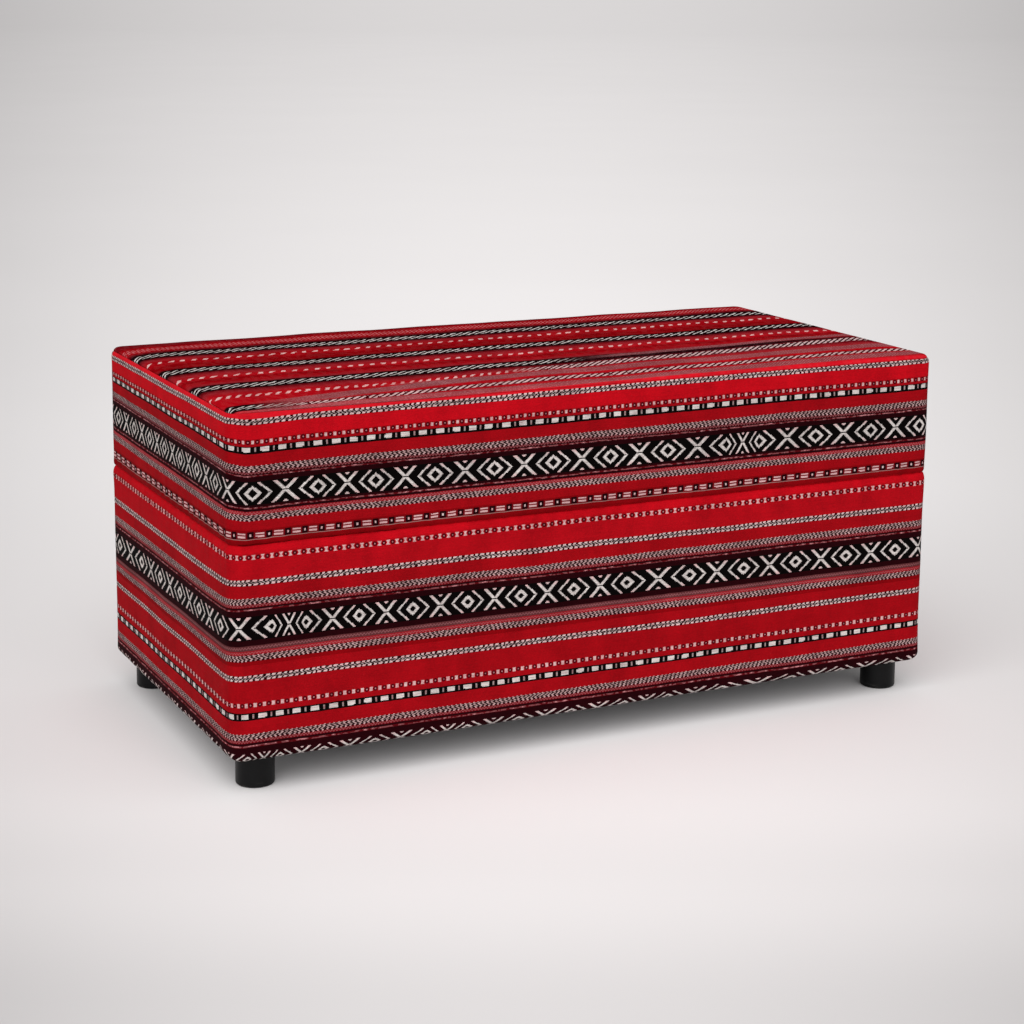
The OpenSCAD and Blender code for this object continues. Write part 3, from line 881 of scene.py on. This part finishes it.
# the base's border: tab and lip under the lower seam, wall, rounded lower edge, and the cloth turned under
def makeBaseBorder(care):
    wide, tall = care["upperLip"]
    edge = care["edge"]
    z = lowerSeam - 0.1 * mm
    tab = np.array([[care["tab"], z], [wide + 2 * mm, z]])
    wall = (z - tall, footTop + edge)
    upper = lipRows(wide, wall[0], tall, 10)[::-1]
    inward = np.linspace(edge, edge + care["turnUnder"], 7)[1:]
    under = np.stack([inward, 0 * inward + footTop], 1)
    flat = wallRows(*wall, care["rowStep"])
    profile = np.concatenate([tab, upper, flat, lipRows(edge, wall[1], -edge, 13), under])
    drops = np.maximum(clothDrops(profile, len(tab) + len(upper) - 1), topZ - lowerSeam)

    def puckers(u, height):
        seamTug = ripples(21, 5, 26 * mm, u) * fade(wall[0] - height, care["puckerReach"])
        edgeTug = ripples(22, 5, 40 * mm, u) * fade(height - wall[1], care["edgeReach"])
        ripple = ripples(23, 6, 150 * mm, u, height) * care["ripple"]
        return seamTug * care["pucker"] + edgeTug * care["edgePucker"] + ripple

    # the cloth waves gently along each lower edge
    def hang(u, height, inset):
        loose = 1 - np.clip((height - footTop) / (60 * mm), 0, 1)
        held = 1 - np.clip((inset - edge) / care["turnUnder"], 0, 1) ** 2
        return loose ** 2 * held * (0.5 + 0.5 * ripples(24, 4, 260 * mm, u)) * care["wave"]

    piece = ringPiece("baseBorderCover", profile, drops, wall, care, puckers, hang)
    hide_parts("base_border")
    return piece


# the top: a cap with a bent border that ends in a small lip and a tab at the seam, crowned by its padding
def makeTopCover(care):
    profile = np.concatenate([[[0, 0]], seamBend(care, 1)])
    outer, px, py = capSurface(half, cornerRadius, profile, (160, 77), 28)
    outer[..., 2] += topZ
    lines = [np.linspace(-1, 1, count) * (h - topBend) for h, count in zip(half, care["net"])]
    cx, cy = np.meshgrid(lines[0], -lines[1])
    move = swellPanel("topCover", np.stack([cx, cy, 0 * cx + topZ], 2), False, care)
    colPlace = np.interp(px[0], lines[0], np.arange(len(lines[0])))
    rowPlace = np.interp(-py[:, 0], lines[1], np.arange(len(lines[1])))
    crown = between(move, rowPlace, colPlace, False)
    flat = 1 - np.clip((topZ - outer[..., 2]) / (2 * mm), 0, 1)
    soft = ripples(31, 7, 170 * mm, px, py) * care["ripple"]
    soft = soft + ripples(32, 5, 60 * mm, px, py) * care["fineRipple"]
    outer[..., 2] += (crown + soft - care["sunk"]) * flat
    inner = outer - gridNormals(outer, False) * care["cloth"]
    uv = np.stack([px + half[0], half[1] - py], 2)
    piece = shellPiece("topCover", outer, inner, uv, False, topCloth)
    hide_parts("top_panel")
    return piece


topCover = makeTopCover(topCare)
seatBorder = makeSeatBorder(seatCare)
baseBorder = makeBaseBorder(baseCare)
for piece in (topCover, seatBorder, baseBorder):
    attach(piece, "root")
print("cover made")


# polyester wadding: tangled pale fibres, in three sizes of noise
def waddingFinish():
    m = Finish("polyester wadding")
    place = m.objectPlace()
    tuft = m.noise(place, 38.0, 3.0, 0.6)
    fibre = m.noise(place, (240.0, 900.0, 520.0), 3.0, 0.65)
    fine = m.noise(place, 1600.0)
    colour = m.mix(tuft, dye(214, 212, 204), dye(242, 240, 234))
    colour = m.shade(colour, 0.86 + fibre * 0.22)
    height = tuft * 0.5 + fibre * 0.35 + fine * 0.15
    return m.finish(colour, 0.95, 0.1, (height, 0.8, 1.6 * mm), sheen=0.2)


# cut foam: open cells from small rounded Voronoi cells, with slow changes of tone
def foamFinish(name, pale, dark, cell):
    m = Finish(name)
    place = m.objectPlace()
    pore = m.cells(place, 1.0 / cell, 0.9)
    slow = m.noise(place, 14.0, 3.0, 0.6)
    grain = m.noise(place, 700.0)
    colour = m.mix(slow, pale, dark)
    colour = m.shade(colour, 0.8 + pore * 0.3 + grain * 0.06)
    return m.finish(colour, 0.92, 0.15, (pore + grain * 0.3, 0.7, 0.9 * mm))


wadding = waddingFinish()
softFoam = foamFinish("soft foam", dye(238, 226, 186), dye(224, 206, 158), 1.5 * mm)
firmFoam = foamFinish("firm foam", dye(196, 206, 214), dye(170, 184, 198), 1.1 * mm)
# seatGap and baseGap are kept free between each wadding's box and its face
paddingCare = {
    "topper": {"edge": 7 * mm, "corner": 12 * mm, "ripple": 0.125 * mm},
    "core": {"edge": 3 * mm, "corner": 8 * mm, "ripple": 0.125 * mm},
    "wadding": {"thick": 8.0 * mm, "wave": 0.35 * mm, "corner": 16.3 * mm, "bend": 11.3 * mm,
                "seatGap": 0.8 * mm, "baseGap": 1.0 * mm},
}


# A foam block: a cap whose profile runs over the top edge, down the side and round the lower edge, closed
# below by a level net of the same lines.
def foamBlock(name, node, care, finish):
    low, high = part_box(node)
    middle = (low + high) / 2
    reach = ((high.x - low.x) / 2, (high.y - low.y) / 2)
    corner, edge = care["corner"], care["edge"]
    tall = high.z - low.z
    over = quarter(corner - edge, edge, edge, edge, 0, 90, 6)
    under = np.array([[corner - edge + edge * math.cos(a), tall - edge + edge * math.sin(a)]
                      for a in np.radians([22.5, 45, 67.5, 90])])
    side = np.array([[corner, d] for d in np.linspace(edge, tall - edge, 6)[1:]])
    profile = np.concatenate([[[0, 0]], over, side, under])
    outer, px, py = capSurface(reach, corner, profile, (80, 40), 24)
    flatProfile = np.array([[0, 0], [corner - edge - 1 * mm, 0]])
    inner = capSurface(reach, corner, flatProfile, (80, 40), 24)[0]
    shown = np.clip(1 + outer[..., 2] / (4 * mm), 0, 1)
    outer += np.array([middle.x, middle.y, high.z - 0.3 * mm])
    outer[..., 2] += ripples(41, 6, 90 * mm, px, py) * care["ripple"] * shown
    inner += np.array([middle.x, middle.y, low.z + 0.05 * mm])
    piece = shellPiece(name, outer, inner, np.stack([px, py], 2), False, finish)
    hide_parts(node)
    return piece


# wadding over the seat: one cap that follows the top and the sides
def seatWaddingPiece(care):
    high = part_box("seat_wadding")[1]
    reach = (high.x - 0.1 * mm, high.y - 0.1 * mm)
    corner, bend = care["corner"], care["bend"]
    over = quarter(corner - bend, bend, bend, bend, 0, 90, 10)
    depth = high.z - lowerSeam - 4 * mm
    side = np.array([[corner, d] for d in np.linspace(bend, depth, 16)[1:]])
    profile = np.concatenate([[[0, 0]], over, side])
    outer, px, py = capSurface(reach, corner, profile, (110, 54), 34)
    outer[..., 2] += high.z - 0.4 * mm
    normals = gridNormals(outer, False)
    # the net's own corners are creased, so each takes the normal of the point inside it
    normals[[0, 0, -1, -1], [0, -1, 0, -1]] = normals[[1, 1, -2, -2], [1, -2, 1, -2]]
    wave = ripples(51, 8, 45 * mm, px, py) * care["wave"]
    inner = outer - normals * (care["thick"] - 0.5 * mm)
    outer = outer - normals * (care["seatGap"] + np.abs(wave))[..., None]
    piece = shellPiece("seatWadding", outer, inner, np.stack([px, py], 2), False, wadding)
    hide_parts("seat_wadding")
    return piece


# Wadding round the base: a soft band between cover and boards. Its face keeps one gap to the cover, whose
# lip and lower edge are quarters of ellipses.
def baseWaddingPiece(care, cover):
    low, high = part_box("base_wadding")
    columns = ringColumns((high.x, high.y), care["corner"], 150, 75, 8)
    wide, tall = cover["upperLip"]
    edge = cover["edge"]
    heights = np.linspace(lowerSeam - 2.5 * mm, low.z + 0.5 * mm, 60)
    lip = np.clip((heights - lowerSeam + tall) / (tall - 2 * mm), 0, 1)
    turn = np.clip((footTop + edge - heights) / (edge - 1.6 * mm), 0, 1)
    inset = wide * (1 - np.sqrt(1 - lip * lip)) + edge * (1 - np.sqrt(1 - turn * turn)) + care["baseGap"]
    inset = np.minimum(inset, care["thick"] - 0.7 * mm)
    u = columns["u"][:-1]
    wave = np.abs(ripples(52, 8, 40 * mm, u[None, :], heights[:, None])) * care["wave"]
    outer = ringSurface(columns, inset, heights, -wave)
    inner = ringSurface(columns, 0 * heights + care["thick"], heights)
    piece = shellPiece("baseWadding", outer, inner, ringMap(columns, heights), True, wadding)
    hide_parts("base_wadding")
    return piece


padding = [
    (foamBlock("foamTopper", "foam_topper", paddingCare["topper"], softFoam), "foam_soft", 0.7),
    (foamBlock("foamCore", "foam_core", paddingCare["core"], firmFoam), "foam_firm", 0.95),
    (seatWaddingPiece(paddingCare["wadding"]), "wadding", 0.5),
    (baseWaddingPiece(paddingCare["wadding"], baseCare), "wadding", 0.5),
]
for piece, slot, fill in padding:
    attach(piece, "root")
print("padding made")

dustCare = {"sag": 2.2 * mm, "cloth": 0.65 * mm, "corner": 6 * mm, "stapleInset": 8 * mm,
            "stapleStart": 40 * mm, "staplePitch": 48 * mm, "stapleLength": 12 * mm, "wire": 0.7 * mm,
            "footReach": 26 * mm, "ripple": 0.5 * mm}


# spunbonded dust cloth: black fibres pressed in a grid of small dimples
def dustFinish():
    m = Finish("spunbonded dust cloth")
    place = m.objectPlace()
    x, y = m.split(place)[:2]
    dimple = (x * 1000 + y * 300).fold(1.9) * (y * 1000).fold(1.9)
    fibre = m.noise(place, (900.0, 1500.0, 900.0), 3.0, 0.7)
    cloud = m.noise(place, 16.0, 3.0)
    colour = m.mix(fibre, dye(20, 20, 22), dye(52, 52, 55))
    colour = m.shade(colour, 0.75 + cloud * 0.5)
    return m.finish(colour, 0.86, 0.2, (dimple * 0.8 + fibre * 0.3, 0.6, 0.25 * mm))


# The dust cover: a flat rounded sheet that sags between its stapled border and the feet. Sag = a bowl over
# the length and the width, less near the feet.
def makeDustCover(care):
    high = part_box("dust_cover")[1]
    corner = care["corner"]
    profile = np.array([[0, 0], [corner - 0.5 * mm, 0], [corner, 0.2 * mm]])
    net, px, py = capSurface((high.x, high.y), corner, profile, (120, 60), 4)
    x, y = np.abs(net[..., 0]), np.abs(net[..., 1])
    bowl = (1 - (x / high.x) ** 2) * (1 - (y / high.y) ** 2)
    border = np.minimum(high.x - x, high.y - y)
    ripple = ripples(61, 6, 120 * mm, px, py) * care["ripple"] * np.clip(border / (80 * mm), 0, 1)
    foot = sum(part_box("back_right_foot"), Vector()) / 2
    free = np.clip((np.hypot(x - foot.x, y - foot.y) - care["footReach"]) / (60 * mm), 0, 1) ** 2
    net[..., 2] = high.z - 0.05 * mm - np.maximum((bowl * care["sag"] + ripple) * free, 0)
    lower = net - np.array([0, 0, care["cloth"]])
    piece = shellPiece("dustCover", net, lower, np.stack([px, py], 2), False, dustFinish())
    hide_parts("dust_cover")
    return piece


# zinc on steel: pale bluish metal with a faint spangle and fine wear
def zincFinish(name):
    m = Finish(name)
    place = m.objectPlace()
    spangle = m.cells(place, 420.0, 1.0)
    wear = m.noise(place, 160.0, 3.0, 0.6)
    colour = m.mix(spangle, dye(176, 180, 186), dye(206, 208, 212))
    colour = m.mix(wear * 0.35, colour, dye(150, 140, 118))
    height = spangle * 0.3 + wear * 0.4
    return m.finish(colour, 0.26 + wear * 0.24, relief=(height, 0.3, 0.1 * mm), metallic=1.0)


# Staples round the dust cover: a flat wire crown with rounded shoulders, its legs going up into the boards.
# One staple is a square section carried along a path, and each copy is turned and moved in plan as x + iy.
def makeStaples(care):
    low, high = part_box("dust_cover")
    wire = care["wire"]
    path = np.array([[-0.5, 2.2], [-0.5, 0.6], [-0.44, 0.0], [0.44, 0.0], [0.5, 0.6], [0.5, 2.2]])
    path = path * np.array([care["stapleLength"], mm])
    normal = np.array([[-1, 0], [-1, 0.2], [-0.5, -1], [0.5, -1], [1, 0.2], [1, 0]])
    normal = normal / np.linalg.norm(normal, axis=1, keepdims=True)
    section = np.array([[-1, -1], [1, -1], [1, 1], [-1, 1]]) * wire / 2
    points = path[:, None] + normal[:, None] * section[None, :, :1]
    spots, turns = [], []
    for side in range(4):
        span, other = np.array([high.x, high.y] if side % 2 == 0 else [high.y, high.x]) - care["stapleInset"]
        end = span - care["stapleStart"]
        along = np.linspace(-end, end, int(2 * end / care["staplePitch"]))
        spots.append((along - 1j * other) * np.exp(0.5j * math.pi * side))
        turns.append(0 * along + side * math.pi / 2)
    spots = np.concatenate(spots)
    turns = np.concatenate(turns) + np.random.default_rng(71).normal(0, 0.07, len(spots))
    one = points[..., 0] + 1j * section[None, :, 1]
    plan = one * np.exp(1j * turns)[:, None, None] + spots[:, None, None]
    z = points[None, ..., 1] + 0 * plan.real + low.z - wire / 2 - 0.02 * mm
    every = np.stack([plan.real, plan.imag, z], 3).reshape(-1, 3)
    corner, column = gridQuads(len(path), 4, True)
    tube = np.concatenate([corner * 4 + column % 4, [[0, 1, 2, 3]], [[23, 22, 21, 20]]])
    faces = (tube[None] + 24 * np.arange(len(spots))[:, None, None]).reshape(-1, 4)
    return meshPiece("dustStaples", every, faces, None, zincFinish("zinc-plated steel"), smooth=False)


dustCover = makeDustCover(dustCare)
staples = makeStaples(dustCare)
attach(dustCover, "root")
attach(staples, "root")
print("dust cover and staples made")


# plywood: veneer grain on the faces, glued plies on the edges; thick is the axis through the board, and
# grain the axis along its veins
def plywoodFinish(name, thick, grain, plies, low, high):
    m = Finish(name)
    place = m.objectPlace()
    facing = m.split(m.make("ShaderNodeNewGeometry", {}, {}, 3))
    scale = [90.0, 90.0, 90.0]
    scale[grain] = 4.0
    wave = m.noise(place, 5.0)
    veins = m.noise(place, tuple(scale), 4.0, 0.62)
    fine = m.noise(place, tuple(s * 9 for s in scale))
    face = m.mix(veins, dye(206, 172, 124), dye(232, 204, 160))
    face = m.shade(face, 0.9 + wave * 0.12 + fine * 0.08)
    layer = (m.split(place)[thick] - low) * (plies / (high - low))
    odd = m.calc("FLOOR", layer).part(2.0) > 0.25
    ply = m.mix(odd, dye(212, 180, 134), dye(158, 118, 74))
    glue = abs(m.calc("FRACT", layer) - 0.5) > 0.44
    ply = m.mix(glue, ply, dye(84, 56, 34))
    ply = m.shade(ply, 0.8 + veins * 0.4)
    onEdge = abs(facing[thick]) < 0.5
    colour = m.mix(onEdge, face, ply)
    height = veins * 0.6 + fine * 0.3 - glue * onEdge * 0.4
    return m.finish(colour, 0.62 + fine * 0.12, 0.3, (height, 0.4, 0.4 * mm))


# pine post: year rings round a pith outside the post, drawn out along its height
def pineFinish():
    m = Finish("pine")
    place = m.objectPlace()
    x, y = m.split(place)[:2]
    sway = m.noise(place, (9.0, 9.0, 2.0)) - 0.5
    across = abs(x) - 0.40 + sway * 0.006
    deep = abs(y) - 0.17 + sway * 0.006
    ring = (m.calc("SQRT", across * across + deep * deep) * 1000).part(3.4)
    late = m.calc("POWER", ring, 3.0)
    fibre = m.noise(place, (900.0, 900.0, 22.0), 3.0)
    colour = m.mix(late, dye(232, 200, 146), dye(184, 132, 74))
    colour = m.shade(colour, 0.88 + fibre * 0.2)
    return m.finish(colour, 0.58 + fibre * 0.12, 0.3, (late * 0.5 + fibre * 0.5, 0.35, 0.3 * mm))


# moulded black plastic: satin, with a fine even grain, faint flow marks and paler scuffs low down
def footFinish():
    m = Finish("black moulded plastic")
    place = m.objectPlace()
    z = m.split(place)[2]
    grain = m.noise(place, 1300.0, 2.0, 0.6)
    flow = m.noise(place, (30.0, 30.0, 7.0), 3.0)
    scuffs = m.noise(place, (60.0, 60.0, 420.0), 3.0, 0.7)
    low = 1 - ((z / 0.008) & 1.0)
    worn = low * (scuffs > 0.58)
    colour = m.mix(flow, dye(6, 6, 7), dye(12, 12, 13))
    colour = m.mix(worn * 0.5, colour, dye(74, 72, 70))
    rough = 0.34 + grain * 0.1 + worn * 0.2
    return m.finish(colour, rough, 0.14, (grain * 0.6 + flow * 0.3, 0.18, 0.12 * mm))


# zinc on threaded steel: its relief is a thread of one pitch along the height
def threadedFinish(name, pitch):
    m = Finish(name)
    place = m.objectPlace()
    wear = m.noise(place, 200.0, 3.0, 0.6)
    z = m.split(place)[2]
    thread = (z * 1000).fold(pitch) / (pitch / 2)
    colour = m.mix(wear, dye(196, 190, 170), dye(214, 212, 206))
    height = thread * 0.8 + wear * 0.2
    return m.finish(colour, 0.28 + wear * 0.2, relief=(height, 0.5, 0.25 * mm), metallic=1.0)


# one finish in every slot of some CAD nodes
def dress(names, finish):
    for name in names:
        for place in nodes[name].material_slots:
            place.material = finish


pliesPerBoard = 9
# each board's finish, the axis through it and the axis of its grain
boards = {"deck_board": ("plywood, deck", 2, 0), "front_panel": ("plywood, front", 1, 0),
          "back_panel": ("plywood, back", 1, 0), "left_panel": ("plywood, left end", 0, 1),
          "right_panel": ("plywood, right end", 0, 1), "centre_divider": ("plywood, divider", 0, 1)}
for board, (name, thick, grain) in boards.items():
    low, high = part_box(board)
    dress([board], plywoodFinish(name, thick, grain, pliesPerBoard, low[thick], high[thick]))
corners = ("front_left", "front_right", "back_left", "back_right")
dress([corner + "_post" for corner in corners], pineFinish())
dress([corner + "_foot" for corner in corners], footFinish())
dress(["foot_studs"], threadedFinish("zinc-plated studs", 1.25))
dress(["threaded_inserts"], threadedFinish("zinc-plated inserts", 2.0))
dress(["deck_screws", "panel_screws"], threadedFinish("zinc-plated screws", 1.6))
print("frame and feet dressed")
